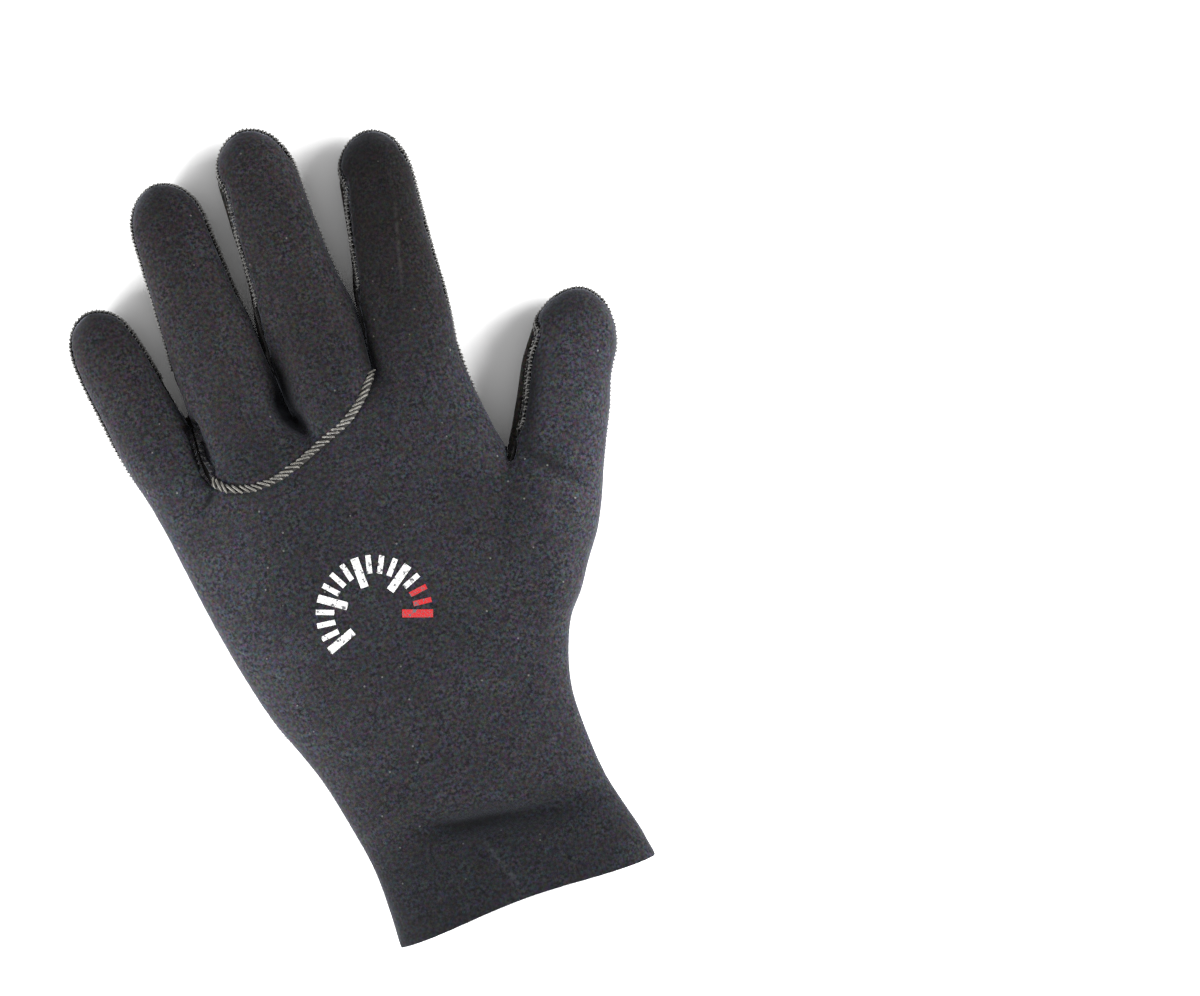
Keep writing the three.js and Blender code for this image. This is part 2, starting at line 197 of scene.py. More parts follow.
def remeshed(name):
    """The panel as an even mesh of fine squares."""
    panel = placed(name.replace("_panel", "_cloth"), solids[name])
    remesh = panel.modifiers.new("even", "REMESH")
    remesh.mode, remesh.voxel_size, remesh.use_smooth_shade = "VOXEL", voxel, True
    panel.data = worked(panel)
    panel.modifiers.clear()
    return panel


def column(items, name, width, kind=np.float32):
    values = np.empty(len(items) * width, kind)
    items.foreach_get(name, values)
    return values.reshape(-1, width)


def relaxed(points, pairs, freedom, rounds):
    """Each point moved towards the middle of its neighbours, as far as its freedom lets it."""
    count = len(points)
    valence = np.bincount(pairs.ravel(), minlength=count)[:, None]
    here, there = np.r_[pairs[:, 0], pairs[:, 1]], np.r_[pairs[:, 1], pairs[:, 0]]
    for _ in range(rounds):
        middle = np.stack([np.bincount(here, points[there, k], count) for k in range(3)], 1) / valence
        points = points + freedom[:, None] * (middle - points)
    return points


def set_points(mesh, points):
    mesh.vertices.foreach_set("co", points.ravel().astype(np.float32))
    mesh.update()


def point_normals(mesh):
    return column(mesh.vertex_normals, "vector", 3)


cloths, kinds, seam_of, seam_gap = {}, {}, {}, {}
for name in PANELS:
    cloth = cloths[name] = remeshed(name)
    points = column(cloth.data.vertices, "co", 3).astype(float)
    solid_kinds = face_kinds(name)
    kinds[name] = np.array([solid_kinds[surfaces[name].find_nearest(p)[2]] for p in points])
    nearest = [near_seams.find(p) for p in points]
    seam_of[name] = np.array([n[1] for n in nearest])
    seam_gap[name] = np.array([n[2] for n in nearest])
    margin = np.minimum(seam_gap[name], points[:, 1] - cuff_edge)
    freedom = 0.8 * np.clip((margin - 0.4 * MM) / held_margin, 0, 1)
    pairs = column(cloth.data.edges, "vertices", 2, np.int32)
    points = relaxed(points, pairs, freedom, relaxing_rounds)
    rim = points[:, 1] < cuff_edge + held_margin
    points[:, ::2] = relaxed(points, pairs, 0.6 * rim, rim_rounds)[:, ::2]
    set_points(cloth.data, points)

outer_spots = [column(cloths[n].data.vertices, "co", 3)[kinds[n] == FACE] for n in PANELS]
outer_normals = np.vstack([point_normals(cloths[n].data)[kinds[n] == FACE] for n in PANELS])
near_cloth = KDTree(len(outer_normals))
for i, spot in enumerate(np.vstack(outer_spots)):
    near_cloth.insert(spot, i)
near_cloth.balance()


def out_of_the_cloth(spot, reach=3 * MM):
    found = [n[1] for n in near_cloth.find_range(spot, reach)] or [near_cloth.find(spot)[1]]
    return outer_normals[found].mean(axis=0)


seam_normals = np.array([out_of_the_cloth(p) for p in seam_spots])
seam_normals /= np.linalg.norm(seam_normals, axis=1)[:, None]


def crowded(line, normals, reach=3.2 * MM, clear_run=4.8 * MM, grown=3 * MM):
    """Where the seam faces another stretch of itself close by: deep between two fingers."""
    count, spread = len(line), int(grown / seam_step)
    steps = np.abs(np.subtract.outer(np.arange(count), np.arange(count)))
    apart = np.minimum(steps, count - steps) > clear_run / seam_step
    gaps = np.linalg.norm(line[:, None, :2] - line[None, :, :2], axis=2)
    facing = normals[:, :2] @ normals[:, :2].T < 0.5
    close = np.pad(((gaps < reach) & apart & facing).any(axis=1), spread, mode="wrap")
    return np.convolve(close, np.ones(2 * spread + 1), "valid") > 0.5


# how far the cloth folds over each seam: on the palm's seam where it lies on top and faces left, and
# on the left branch of the insert's, which is tucked in
palm_count = len(palm_seam)
photo_right = np.array((0.94, -0.34, 0))
open_seam = ~crowded(palm_seam, seam_normals[:palm_count])
faces_left = np.clip(0.6 - seam_normals[:palm_count] @ photo_right, 0, 1)
fold = np.clip((seam_normals[:palm_count, 2] - 0.25) / 0.5, 0, 1) * faces_left * open_seam
window = int(fold_run / seam_step) | 1
fold = np.convolve(np.pad(fold, window // 2, mode="wrap"), np.ones(window) / window, "valid")
tucked = np.clip((knuckle_seam[:, 1] - 53 * MM) / (5 * MM), 0, 1) * (knuckle_seam[:, 0] < -40 * MM)
fold = np.r_[fold, 0.9 * tucked]
seam_lines = seam_spots - seam_normals * (fold_depth * fold + 0.3 * groove_depth)[:, None]


def line_gap(points, start, end):
    """How far each point is, seen from above, from a line; beyond its ends that grows slowly."""
    start, end = np.array(start) * MM, np.array(end) * MM
    length = np.linalg.norm(end - start)
    run = (end - start) / length
    along = (points[:, :2] - start) @ run
    across = (points[:, :2] - start) @ (run[1], -run[0])
    return np.hypot(across, 0.45 * (along - np.clip(along, 0, length)))


# start, end, depth and width in mm of the soft folds pressed into the back of the glove
FOLDS = (
    ((-19.0, 67.5), (-17.6, 64.8), 8.5, 2.9),
    ((-18.0, 70.0), (-16.6, 78.0), 2.6, 4.0),
    ((-16.6, 78.0), (-16.4, 90.0), 1.4, 4.0),
    ((15.0, 74.0), (17.0, 92.0), 1.2, 3.5),
    ((-16.0, -78.6), (16.0, -84.4), 3.6, 5.2),
    ((-10.0, -79.7), (10.0, -83.3), 1.5, 3.2),
    ((-50.0, 50.0), (-54.0, 47.3), 1.0, 1.7),
    ((51.0, 29.2), (61.0, 16.5), 1.7, 2.8),
    ((53.0, 34.0), (64.5, 58.0), 1.3, 2.4),
)
# start, end, shift and width in mm where the sides of two fingers press together
PRESSED = (((-18.3, 65.5), (-19.9, 97.0), 1.3, 5.0), ((12.0, 70.0), (14.4, 94.0), 1.2, 5.0))
cuff_wave, cuff_half_width, cuff_reach = 2.4 * MM, 44 * MM, 16 * MM
top_from, top_rise = 9 * MM, 5 * MM

for name in PANELS:
    mesh = cloths[name].data
    points = column(mesh.vertices, "co", 3).astype(float)
    gap, folded = seam_gap[name], fold[seam_of[name]]
    wide = groove_width + (0 if name == "palm_panel" else fold_width - groove_width) * folded
    lift = -(groove_depth + fold_depth * folded) * np.exp(-((gap / wide) ** 2))
    pucker = np.array([noise.noise(Vector(p) / pucker_pitch) for p in points])
    swell = np.array([noise.noise(Vector(p) / swell_pitch) for p in points])
    lift += pucker_depth * pucker * np.exp(-((gap / pucker_width) ** 2))
    lift += swell_height * swell * np.clip(points[:, 2] / (6 * MM), 0, 1)
    points += point_normals(mesh) * (lift * (kinds[name] == FACE))[:, None]
    top = np.clip((points[:, 2] - top_from) / top_rise, 0, 1)
    for start, end, depth, width in FOLDS:
        points[:, 2] -= top * depth * MM * np.exp(-((line_gap(points, start, end) / (width * MM)) ** 2))
    for start, end, shift, width in PRESSED:
        slope = (end[0] - start[0]) / (end[1] - start[1])
        side = points[:, 0] - (start[0] * MM + (points[:, 1] - start[1] * MM) * slope)
        near = np.exp(-((line_gap(points, start, end) / (width * MM)) ** 2))
        near *= np.clip((points[:, 1] - start[1] * MM) / (2 * MM), 0, 1)
        points[:, 0] -= np.sign(side) * np.minimum(np.abs(side) * 0.9, shift * MM * near)
    bow = np.cos(np.clip(points[:, 0] / cuff_half_width, -1, 1) * math.pi / 2) ** 2
    points[:, 1] += cuff_wave * bow * top * np.exp((cuff_edge - points[:, 1]) / cuff_reach)
    set_points(mesh, points)


class Level:
    """A number that changes over a surface; arithmetic on it adds Math nodes."""

    def __init__(self, finish, socket):
        self.finish, self.socket = finish, socket

    def maths(self, operation, *values):
        return self.finish.add("ShaderNodeMath", {"operation": operation}, dict(enumerate(values)))

    def __add__(self, other):
        return self.maths("ADD", self, other)

    def __sub__(self, other):
        return self.maths("SUBTRACT", self, other)

    def __rsub__(self, other):
        return self.maths("SUBTRACT", other, self)

    def __mul__(self, other):
        return self.maths("MULTIPLY", self, other)

    __radd__, __rmul__ = __add__, __mul__

    def wave(self):
        return self.maths("SINE", self)

    def size(self):
        return self.maths("ABSOLUTE", self)


class Finish:
    """One material and the nodes that make it."""

    def __init__(self, name, **constants):
        self.material = bpy.data.materials.new(name)
        self.material.use_nodes = True
        self.tree = self.material.node_tree
        self.shader = self.tree.nodes["Principled BSDF"]
        for label, value in constants.items():
            socket = label.replace("_", " ").title().replace("Ior", "IOR")
            self.shader.inputs[socket].default_value = value
        self.place = self.add("ShaderNodeTexCoord", output="Object")

    def add(self, kind, settings=None, values=None, output=0):
        """A new node, its settings first and then the values or links of its sockets."""
        node = self.tree.nodes.new(kind)
        for key, value in (settings or {}).items():
            setattr(node, key, value)
        for key, value in (values or {}).items():
            self.feed(node.inputs[key], value)
        return Level(self, node.outputs[output])

    def feed(self, socket, value):
        if isinstance(value, Level):
            self.tree.links.new(value.socket, socket)
        else:
            socket.default_value = value

    def mottle(self, grain, detail=2.0, output=0, roughness=0.5):
        """Soft noise with blotches of about that size."""
        values = {"Vector": self.place, "Scale": 1 / grain, "Detail": detail, "Roughness": roughness}
        return self.add("ShaderNodeTexNoise", None, values, output)

    def cells(self, size, **settings):
        """How near each spot is to the middle, or to the edge, of a cell of about that size."""
        return self.add("ShaderNodeTexVoronoi", settings, {"Vector": self.place, "Scale": 1 / size})

    def xyz(self, place):
        """The three parts of a position."""
        parts = self.add("ShaderNodeSeparateXYZ", None, {0: place}).socket.node.outputs
        return [Level(self, part) for part in parts]

    def grey(self, level):
        """A number as a colour."""
        return self.add("ShaderNodeCombineColor", None, {0: level, 1: level, 2: level})

    def blend(self, amount, first, second, way="MIX"):
        settings = {"data_type": "RGBA", "blend_type": way}
        return self.add("ShaderNodeMix", settings, {0: amount, 6: first, 7: second}, 2)

    def spread(self, level, low, high, to_low=0.0, to_high=1.0):
        """The level from low to high, taken to another range and held there."""
        values = {0: level, 1: low, 2: high, 3: to_low, 4: to_high}
        return self.add("ShaderNodeMapRange", {"interpolation_type": "SMOOTHSTEP"}, values)

    def colour(self, value):
        self.feed(self.shader.inputs["Base Color"], value)

    def relief(self, height, depth, strength=1.0, under=None):
        """A bump from a height of 0 to 1 that is that deep; under is a coarser bump below it."""
        values = {"Height": height, "Distance": depth, "Strength": strength}
        if under:
            values["Normal"] = under
        return self.add("ShaderNodeBump", None, values)

    def normal(self, value):
        self.feed(self.shader.inputs["Normal"], value)


def knit(finish, wale, course):
    """Jersey: columns of V-shaped loops along the hand, wale wide and course long."""
    x, along, z = finish.xyz(finish.place)
    ridge = ((x + z) * (math.pi / wale)).wave().size()
    slant, loop_share, ridge_share = 2.2, 0.35, 0.5
    loops = (along * (2 * math.pi / course) + ridge * slant).wave()
    return loops * loop_share * ridge + ridge * ridge_share


sheen_roughness, sheen_tint = 0.35, (0.75, 0.8, 0.95, 1)
wale, course = 0.62 * MM, 0.5 * MM
dye_strength = 1.9


def jersey(name, dark, light, warm, roughness=0.9, sheen=0.22):
    """Matte nylon jersey over foam: fine speckle, dots of coloured dye, knit relief with painted shade
    between its loops, soft patches.
    """
    finish = Finish(name, roughness=roughness, specular_ior_level=0.08, sheen_weight=sheen)
    finish.shader.inputs["Sheen Roughness"].default_value = sheen_roughness
    finish.shader.inputs["Sheen Tint"].default_value = sheen_tint
    speck = finish.spread(finish.mottle(1.0 * MM, 2.0, roughness=0.6), 0.3, 0.7)
    shade = finish.spread(finish.mottle(5 * MM, 2.0), 0.35, 0.65)
    patches = finish.mottle(32 * MM, 3.0)
    cloth = finish.blend(speck, dark, light)
    cloth = finish.blend(shade * 0.5, cloth, warm)
    dots = finish.mottle(1.15 * MM, 1.5, output=1)
    around_one = {0: dots, 1: (dye_strength,) * 3, 2: (1 - dye_strength / 2,) * 3}
    dye = finish.add("ShaderNodeVectorMath", {"operation": "MULTIPLY_ADD"}, around_one)
    cloth = finish.blend(1.0, cloth, dye, "MULTIPLY")
    loops = knit(finish, wale, course)
    # painted shade between the knit loops, times soft random patches of lighter and darker tone
    knit_shade_and_patches = (loops * 0.25 + 0.82) * finish.spread(patches, 0.3, 0.7, 0.86, 1.14)
    cloth = finish.blend(1.0, cloth, finish.grey(knit_shade_and_patches), "MULTIPLY")
    coarse = finish.relief(finish.mottle(2.2 * MM, 3.0), 0.12 * MM, 0.6)
    fine = finish.relief(loops + finish.mottle(0.35 * MM, 2.0) * 0.6, 0.07 * MM, 0.7, coarse)
    finish.normal(fine)
    return finish, cloth


def streak_on(finish, middle, angle, length, width):
    """A soft streak on the top of the glove, from above: 1 on it and 0 beside it."""
    centre, turn = (middle[0] * MM, middle[1] * MM, 0), (0, 0, math.radians(angle))
    lie = {"Location": centre, "Rotation": turn, "Vector": finish.place}
    lie = finish.add("ShaderNodeMapping", {"vector_type": "TEXTURE"}, lie)
    along, across, height = finish.xyz(lie)
    streak = finish.spread(across.size(), width * MM, 0.0)
    streak = streak * finish.spread(along.size(), length * MM / 2, 0.0)
    return streak * finish.spread(height, 9 * MM, 13 * MM)


back, charcoal = jersey(
    "charcoal_jersey",
    dark=(0.0026, 0.0027, 0.0033, 1),
    light=(0.0212, 0.0212, 0.0262, 1),
    warm=(0.0118, 0.0105, 0.0113, 1),
)
# middle, turn in degrees, length and width in mm, and strength of the pale scuffs, and of the painted
# shade streaks along folds, slits between fingers, the pit between two fingers, the wrist crease and the
# groove by the thumb's seam
SCUFFS = (((34.7, 107.0), 75.0, 44, 1.1, 0.22), ((-2.6, -95.5), -70.3, 30, 1.6, 0.25))
PAINTED_SHADE_STREAKS = (
    ((58.2, 46.2), 64.4, 52, 4.6, 0.85),
    ((-18.0, 76.0), 91.0, 46, 6.5, 0.95),
    ((13.6, 78.0), 84.0, 40, 4.5, 0.7),
    ((-49.6, 64.0), 90.0, 30, 5.0, 0.8),
    ((-51.9, 49.1), 40.0, 11, 1.9, 0.9),
    ((56.0, 22.6), -51.0, 30, 4.4, 0.6),
    ((-5.0, -79.3), -7.0, 50, 5.5, 0.75),
)
# the pale colour of the scuffs, and the near-black of the painted shade streaks
rubbed_pale, painted_shade_black = (0.11, 0.11, 0.12, 1), (0.002, 0.002, 0.002, 1)
worn = back.spread(back.mottle(1.6 * MM, 3.0), 0.35, 0.6)
for *place, strength in SCUFFS:
    charcoal = back.blend(streak_on(back, *place) * worn * strength, charcoal, rubbed_pale)
# painted shade: each streak darkens the cloth towards black where a fold, slit or groove lies in shade
for *place, strength in PAINTED_SHADE_STREAKS:
    charcoal = back.blend(streak_on(back, *place) * strength, charcoal, painted_shade_black)
lint = back.spread(back.cells(6 * MM), 0.075, 0.03) * 0.6
charcoal = back.blend(lint, charcoal, (0.1, 0.1, 0.095, 1))

# Painted light and shade on the cloth: each patch, from its mask, leaves a share of the red, green and
# blue.
across, along, _ = back.xyz(back.place)
# painted shade: the cloth is warmer and darker towards the fingers
fingers = back.spread(along, 45 * MM, 115 * MM)
# painted shade: darker again over the index finger
painted_index_shade = fingers * back.spread(across, 6 * MM, 24 * MM)
# painted light: lighter along both sides of the hand
painted_side_light = back.spread(along, -60 * MM, -20 * MM) * back.spread(along, 85 * MM, 55 * MM)
painted_side_light = painted_side_light * back.spread(across.size(), 28 * MM, 55 * MM)
# painted shade: darker over the cuff
painted_cuff_shade = back.spread(along, -70 * MM, -88 * MM) * back.spread(across, 62 * MM, 20 * MM)
# painted shade: a dark band along the wrist crease
painted_crease_shade = back.spread((along + across * 0.18 + 81.5 * MM).size(), 7 * MM, 0.0)
painted_crease_shade = painted_crease_shade * back.spread((across - 2 * MM).size(), 34 * MM, 14 * MM)
for patch, share in (
    (fingers, (1.0, 0.93, 0.86, 1)),
    (painted_index_shade, (0.44, 0.43, 0.4, 1)),
    (painted_side_light, (1.42, 1.45, 1.46, 1)),
    (painted_cuff_shade, (0.52, 0.55, 0.57, 1)),
    (painted_crease_shade, (0.52, 0.55, 0.58, 1)),
):
    charcoal = back.blend(patch, charcoal, share, "MULTIPLY")
back.colour(charcoal)

palm, brown = jersey(
    "palm_jersey",
    dark=(0.003, 0.0028, 0.0025, 1),
    light=(0.02, 0.018, 0.0155, 1),
    warm=(0.014, 0.011, 0.009, 1),
    sheen=0.03,
)
palm.colour(brown)
lining, soot = jersey(
    "lining_jersey",
    dark=(0.003, 0.003, 0.0035, 1),
    light=(0.02, 0.02, 0.022, 1),
    warm=(0.014, 0.012, 0.012, 1),
    sheen=0.03,
)
lining.colour(soot)

foam = Finish("cut_foam", roughness=0.95, specular_ior_level=0.2)
pores = foam.cells(0.28 * MM)
# painted shade: the pores, where the bump sinks, are coloured darker than the cell walls
painted_pore_shade, wall_colour = (0.006, 0.006, 0.006, 1), (0.028, 0.027, 0.027, 1)
foam.colour(foam.blend(foam.spread(pores, 0.1, 0.6), painted_pore_shade, wall_colour))
foam.normal(foam.relief(pores, 0.12 * MM, 0.8))

for name in PANELS:
    cloth, kind, gripped = cloths[name], kinds[name], name == "palm_panel"
    cloth.data.materials.clear()
    for finish in (palm if gripped else back, lining, foam):
        cloth.data.materials.append(finish.material)
    of_face = [int(np.bincount(kind[list(p.vertices)]).argmax()) for p in cloth.data.polygons]
    cloth.data.polygons.foreach_set("material_index", of_face)
    hidden = np.flatnonzero((kind == LINING) & (seam_gap[name] > lining_margin))
    thinned = cloth.vertex_groups.new(name="lining")
    thinned.add(hidden.tolist(), 1.0, "REPLACE")
    thin = cloth.modifiers.new("thin_lining", "DECIMATE")
    lining_faces = of_face.count(LINING) / len(of_face)
    thin.ratio = 1 - lining_faces * (1 - lining_share)
    thin.vertex_group = thinned.name
    cloth.data = worked(cloth)
    cloth.modifiers.clear()
    cloth.vertex_groups.clear()
    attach(cloth, "root")
    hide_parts(name)

# Overlock: a thick olive-grey thread sewn over every seam in close slanted loops, which lie on a
# flat bed of the threads that run along it. On the palm's seam the loops sink in the middle.
rng = np.random.default_rng(7)
loop_sink, bed_sink = 0.45 * MM, 0.4 * MM
turn_spread, size_spread = 0.05, 0.04
pressed_flat = -0.28 * MM


def grown_from(bm, ring):
    """The new edges and vertices of a ring of edges extruded in place."""
    grown = bmesh.ops.extrude_edge_only(bm, edges=ring)["geom"]
    edges = [g for g in grown if isinstance(g, bmesh.types.BMEdge)]
    return edges, [g for g in grown if isinstance(g, bmesh.types.BMVert)]


def thread_loop(width, height, dip, slant, thread):
    """One loop across the seam: x runs along the seam, y across it, z out of the cloth."""
    steps, sides = 8, 5
    across = np.linspace(-1, 1, steps + 1)
    arch = height * (1 - across**4) - dip * np.cos(across * math.pi / 2) ** 2 - loop_sink
    path = [Vector((a * width / 2 * slant, a * width / 2, z)) for a, z in zip(across, arch)]
    bm = bmesh.new()
    bmesh.ops.create_circle(bm, segments=sides, radius=thread / 2)
    ring = bm.edges[:]
    bmesh.ops.rotate(bm, verts=bm.verts, matrix=Matrix.Rotation(-math.pi / 2, 3, "X"))
    bmesh.ops.rotate(bm, verts=bm.verts, matrix=Matrix.Rotation(-math.atan(slant), 3, "Z"))
    bmesh.ops.translate(bm, verts=bm.verts, vec=path[0])
    for start, end in zip(path, path[1:]):
        ring, verts = grown_from(bm, ring)
        bmesh.ops.translate(bm, verts=verts, vec=end - start)
    bmesh.ops.recalc_face_normals(bm, faces=bm.faces)
    mesh = bpy.data.meshes.new("thread_loop")
    bm.to_mesh(mesh)
    bm.free()
    return mesh


def frames_along(points, normals):
    """At each point of a seam, a turn to the directions along it, across it and out of the cloth."""
    along = np.gradient(points, axis=0)
    turns = []
    for t, n in zip(along, normals):
        x = Vector(t).normalized()
        z = (Vector(n) - Vector(n).dot(x) * x).normalized()
        turns.append(Matrix((x, z.cross(x), z)).transposed())
    return turns


def copies(pattern, places, name):
    """One mesh with a copy of the pattern at each place."""
    spots = column(pattern.vertices, "co", 3)
    count = len(spots)
    points = np.concatenate([spots @ np.array(p.to_3x3()).T + np.array(p.translation) for p in places])
    faces = [tuple(p.vertices) for p in pattern.polygons]
    mesh = bpy.data.meshes.new(name)
    numbered = [[v + k * count for v in f] for k in range(len(places)) for f in faces]
    mesh.from_pydata(points.tolist(), [], numbered)
    mesh.shade_smooth()
    return mesh


def sewn(name, points, normals, pattern, pitch, kept):
    """The row of loops over the parts of a seam that are kept."""
    turns = frames_along(points, normals)
    places = []
    for stop in np.arange(0, len(points) - 1, pitch / seam_step):
        i = int(stop)
        if not kept[i]:
            continue
        wobble = Matrix.Rotation(rng.normal(0, turn_spread), 3, "Z") * float(rng.normal(1, size_spread))
        places.append(Matrix.Translation(points[i]) @ (turns[i] @ wobble).to_4x4())
    return placed(name, copies(pattern, places, name))


def thread_bed(name, points, normals, width, height, kept):
    """The flat bed under the loops: a flat ring of points carried along each kept part of the seam."""
    turns = frames_along(points, normals)
    bm = bmesh.new()
    ends = np.flatnonzero(np.diff(np.r_[0, kept.astype(int), 0]))
    for start, end in zip(ends[::2], ends[1::2]):
        made = bmesh.ops.create_circle(bm, segments=8, radius=1)["verts"]
        shape = [Vector((0, v.co.x * width / 2, v.co.y * height / 2 - bed_sink)) for v in made]
        ring, loop = list({e for v in made for e in v.link_edges}), made
        for i in range(start, end, 2):
            if i > start:
                ring, loop = grown_from(bm, ring)
            for vert, spot in zip(loop, shape):
                vert.co = Vector(points[i]) + turns[i] @ spot
    bmesh.ops.recalc_face_normals(bm, faces=bm.faces)
    mesh = bpy.data.meshes.new(name)
    bm.to_mesh(mesh)
    bm.free()
    mesh.shade_smooth()
    return placed(name, mesh)


def thread_finish(name, dark, light):
    """Bulky spun thread: a mottle from dark to light, partly the thread's own colour and partly a painted
    highlight on the crown of its fibres and painted shade between them.
    """
    twist = Finish(name, roughness=0.5, specular_ior_level=0.5, sheen_weight=0.3)
    fibre, wear = twist.mottle(0.35 * MM, 2.0), twist.mottle(2.6 * MM, 2.0)
    # painted highlight and shade: the light share of the thread colour, dimmed in patches
    share = twist.spread(fibre, 0.3, 0.7) * twist.spread(wear, 0.35, 0.6, 0.35, 1.0)
    twist.colour(twist.blend(share, dark, light))
    twist.normal(twist.relief(fibre, 0.1 * MM, 0.6))
    return twist


palm_line, palm_normals = seam_lines[:palm_count], seam_normals[:palm_count]
knuckle_line, knuckle_normals = seam_lines[palm_count:], seam_normals[palm_count:]
whole_seam = np.full(len(knuckle_line), True)
untucked = fold[palm_count:] < 0.45
palm_loop = thread_loop(2.4 * MM, 1.15 * MM, 0.9 * MM, -0.7, 0.58 * MM)
knuckle_loop = thread_loop(2.6 * MM, 1.1 * MM, 0.0, -1.5, 0.68 * MM)
rows = [
    sewn("palm_stitches", palm_line, palm_normals, palm_loop, 1.35 * MM, open_seam),
    sewn("knuckle_stitches", knuckle_line, knuckle_normals, knuckle_loop, 2.2 * MM, untucked),
    thread_bed("palm_thread_bed", palm_line, palm_normals, 1.2 * MM, 0.6 * MM, open_seam),
    thread_bed("knuckle_thread_bed", knuckle_line, knuckle_normals, 2.9 * MM, 1.0 * MM, whole_seam),
]
black = thread_finish("black_thread", (0.008, 0.0075, 0.007, 1), (0.12, 0.116, 0.108, 1))
olive = thread_finish("olive_thread", (0.016, 0.0145, 0.011, 1), (0.12, 0.112, 0.09, 1))
bed = Finish("dark_thread", roughness=0.8, specular_ior_level=0.3)
strand = bed.mottle(0.5 * MM, 2.0)
bed.colour(bed.blend(strand, (0.003, 0.003, 0.003, 1), (0.018, 0.016, 0.014, 1)))
bed.normal(bed.relief(strand, 0.15 * MM, 0.7))
for row in rows:
    spots = column(row.data.vertices, "co", 3)
    spots[:, 2] = np.maximum(spots[:, 2], pressed_flat)
    set_points(row.data, spots)
    yarn = bed if "bed" in row.name else black if "palm" in row.name else olive
    row.data.materials.append(yarn.material)
    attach(row, "root")

# Grip dots: small glossy rubber domes printed on the palm panel in hexagons of 37, each seven dots
# across, with a plain line between the hexagons. They stop short of the seams.
dot_pitch, hexagon_pitch = 1.75 * MM, 13.1 * MM
dot_width, dot_height = 1.0 * MM, 0.28 * MM
lattice_turn = math.radians(6)
seam_clearance, dot_sink = 2.5 * MM, 0.03 * MM
least_facing_down = -0.3
bm = bmesh.new()
bmesh.ops.create_circle(bm, segments=7, radius=dot_width / 2)
rim = bm.edges[:]
for share, rise in ((0.8, 0.7), (0.35, 1.0)):
    rim, verts = grown_from(bm, rim)
    for vert in verts:
        vert.co = Vector((vert.co.x, vert.co.y, 0)).normalized() * dot_width / 2 * share
        vert.co.z = dot_height * rise
bmesh.ops.contextual_create(bm, geom=rim)
bmesh.ops.recalc_face_normals(bm, faces=bm.faces)
dot = bpy.data.meshes.new("dot")
bm.to_mesh(dot)
bm.free()

palm_surface = surface_of(cloths["palm_panel"].data)
offsets = [
    Vector((q + r / 2, r * math.sqrt(3) / 2)) * dot_pitch
    for q in range(-3, 4) for r in range(-3, 4) if abs(q + r) <= 3
]
turn = Matrix.Rotation(lattice_turn, 2)
dot_places = []
for column_number in range(-10, 11):
    for row_number in range(-14, 15):
        centre = Vector((column_number + row_number / 2, row_number * math.sqrt(3) / 2)) * hexagon_pitch
        for offset in offsets:
            spot = turn @ (centre + turn @ offset)
            if not (-82 * MM < spot.x < 95 * MM and -50 * MM < spot.y < 163 * MM):
                continue
            hit, normal, _, _ = palm_surface.ray_cast(Vector((spot.x, spot.y, -20 * MM)), UP)
            if hit is None or normal.z > least_facing_down or near_seams.find(hit)[2] < seam_clearance:
                continue
            tilt = normal.to_track_quat("Z", "X").to_matrix()
            dot_places.append(Matrix.Translation(hit - normal * dot_sink) @ tilt.to_4x4())
dots = placed("grip_dots", copies(dot, dot_places, "grip_dots"))
rubber = Finish("grip_rubber", roughness=0.28, specular_ior_level=0.6, coat_weight=0.3)
film = rubber.mottle(6 * MM, 2.0)
rubber.colour(rubber.blend(film, (0.035, 0.03, 0.024, 1), (0.06, 0.05, 0.04, 1)))
dots.data.materials.append(rubber.material)
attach(dots, "root")

# Print: a plain half dial of ticks on the back of the hand, white with three red ones at its end,
# rolled on as a thin flexible ink that has cracked a little.
dial_centre = Vector((-13.5, -4.0, 0)) * MM
dial_radius, tick_count = 19 * MM, 17
dial_start, dial_sweep = math.radians(200), math.radians(-220)
long_tick, short_tick = (10 * MM, 2.6 * MM), (6 * MM, 1.7 * MM)
red_count = 3
ink_height = 0.1 * MM
back_surface = surface_of(cloths["back_panel"].data)


def ticks(name, numbers):
    bm = bmesh.new()
    for number in numbers:
        angle = dial_start + dial_sweep * number / (tick_count - 1)
        length, width = short_tick if number % 4 else long_tick
        lay = Matrix.Translation(dial_centre) @ Matrix.Rotation(angle, 4, "Z")
        lay = lay @ Matrix.Translation((dial_radius - length / 2, 0, 0))
        lay = lay @ Matrix.Diagonal((length / 2, width / 2, 1, 1))
        bmesh.ops.create_grid(bm, x_segments=12, y_segments=4, size=1, matrix=lay)
    for vert in bm.verts:
        hit = back_surface.ray_cast(vert.co + Vector((0, 0, 60 * MM)), -UP)[0]
        vert.co = hit + UP * ink_height
    bmesh.ops.solidify(bm, geom=bm.faces[:], thickness=1.6 * ink_height)
    bmesh.ops.recalc_face_normals(bm, faces=bm.faces)
    mesh = bpy.data.meshes.new(name)
    bm.to_mesh(mesh)
    bm.free()
    return placed(name, mesh)


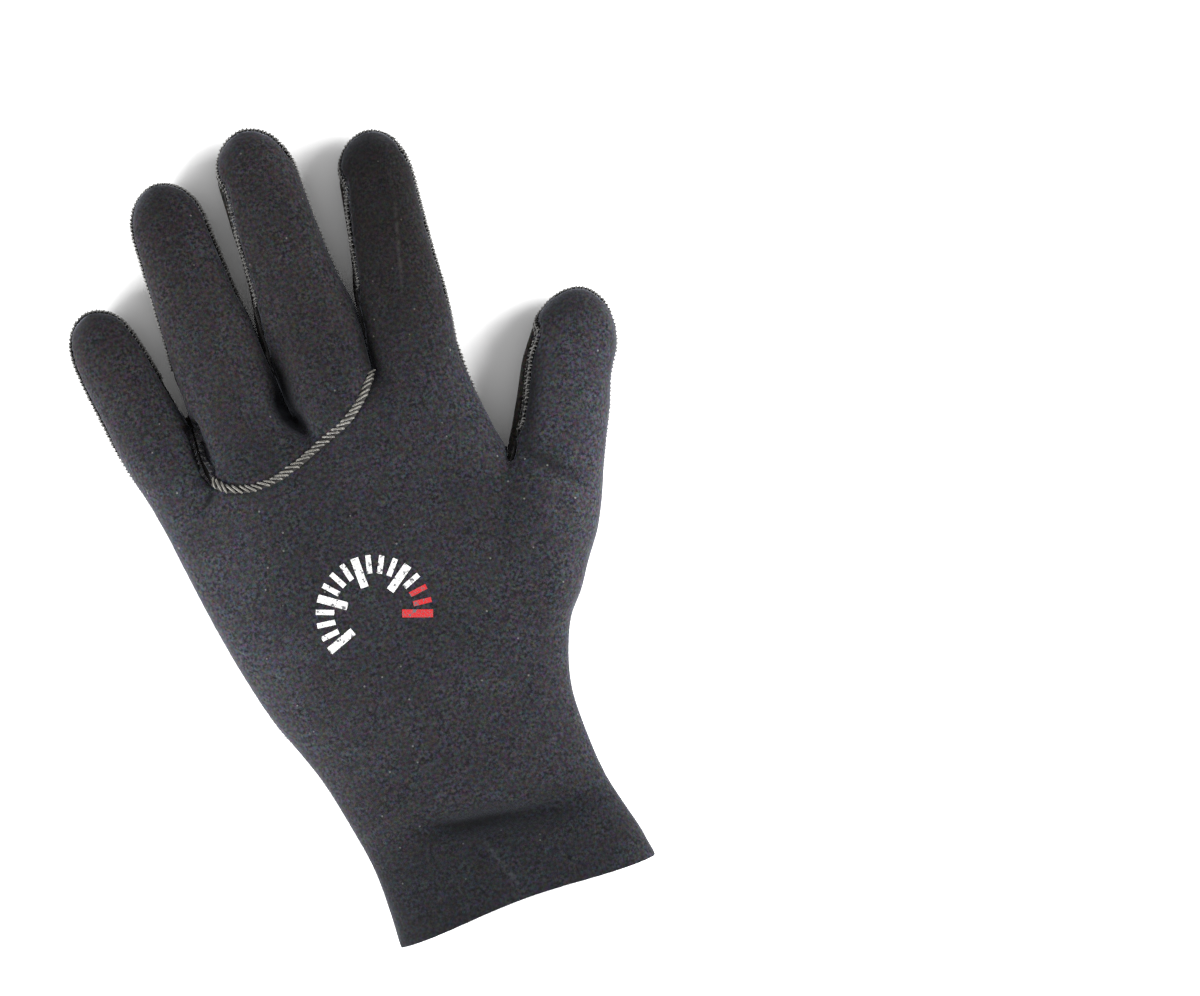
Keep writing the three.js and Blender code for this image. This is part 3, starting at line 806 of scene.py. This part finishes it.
for name, numbers, colour in (
    ("white_ticks", range(tick_count - red_count), (0.45, 0.45, 0.44, 1)),
    ("red_ticks", range(tick_count - red_count, tick_count), (0.27, 0.009, 0.011, 1)),
):
    printed = ticks(name, numbers)
    ink = Finish(name + "_ink", roughness=0.6, specular_ior_level=0.15)
    crack = ink.cells(1.1 * MM, feature="DISTANCE_TO_EDGE")
    left = ink.spread(crack, 0.0, 0.05) * ink.spread(ink.mottle(1.5 * MM, 3.0), 0.34, 0.42)
    ink.colour(ink.blend(left, (0.06, 0.06, 0.065, 1), colour))
    ink.normal(ink.relief(left, 0.08 * MM, 0.5))
    printed.data.materials.append(ink.material)
    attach(printed, "root")

# Stage: a plain pale table top, soft lamps and a camera that looks straight down, as the photograph
# does, with the hand leaning to the left and the right of the frame empty.
frame_middle = Vector((67.95, 6.0, 0)) * MM
hand_lean = math.radians(20.1)
frame_width, eye_height = 396 * MM, 10 * MM
lens, sensor = 100, 36
world_strength = 0.64
bm = bmesh.new()
bmesh.ops.create_grid(bm, x_segments=2, y_segments=2, size=2.5)
bmesh.ops.translate(bm, verts=bm.verts, vec=(0, 0, -dot_height))
table = placed("table_top", bpy.data.meshes.new("table_top"))
bm.to_mesh(table.data)
bm.free()
paint = Finish("table_white", roughness=0.9, specular_ior_level=0.2)
paint.colour(paint.blend(paint.mottle(0.3, 2.0), (0.86, 0.86, 0.86, 1), (0.9, 0.9, 0.9, 1)))
table.data.materials.append(paint.material)

camera = bpy.data.objects.new("camera", bpy.data.cameras.new("camera"))
camera.data.lens, camera.data.sensor_width = lens, sensor
camera.data.clip_start, camera.data.clip_end = 0.01, 20
camera.location = frame_middle + Vector((0, 0, eye_height + frame_width * lens / sensor))
camera.rotation_euler = Euler((0, 0, -hand_lean))
bpy.context.collection.objects.link(camera)
bpy.context.scene.camera = camera


def lamp(name, place, size, power):
    """A square soft lamp that looks at the glove."""
    light = bpy.data.lights.new(name, "AREA")
    light.shape, light.size, light.energy = "SQUARE", size, power
    holder = bpy.data.objects.new(name, light)
    holder.location = place
    holder.rotation_euler = (-Vector(place)).to_track_quat("-Z", "Y").to_euler()
    bpy.context.collection.objects.link(holder)


lamp("key", (0.64, -0.1, 0.33), 0.5, 21)
lamp("fill", (-0.58, -0.05, 0.18), 0.3, 14)
world = bpy.data.worlds.new("studio")
world.use_nodes = True
background = world.node_tree.nodes["Background"]
background.inputs[0].default_value = (1, 1, 1, 1)
background.inputs[1].default_value = world_strength
bpy.context.scene.world = world
bpy.context.scene.view_settings.view_transform = "Standard"
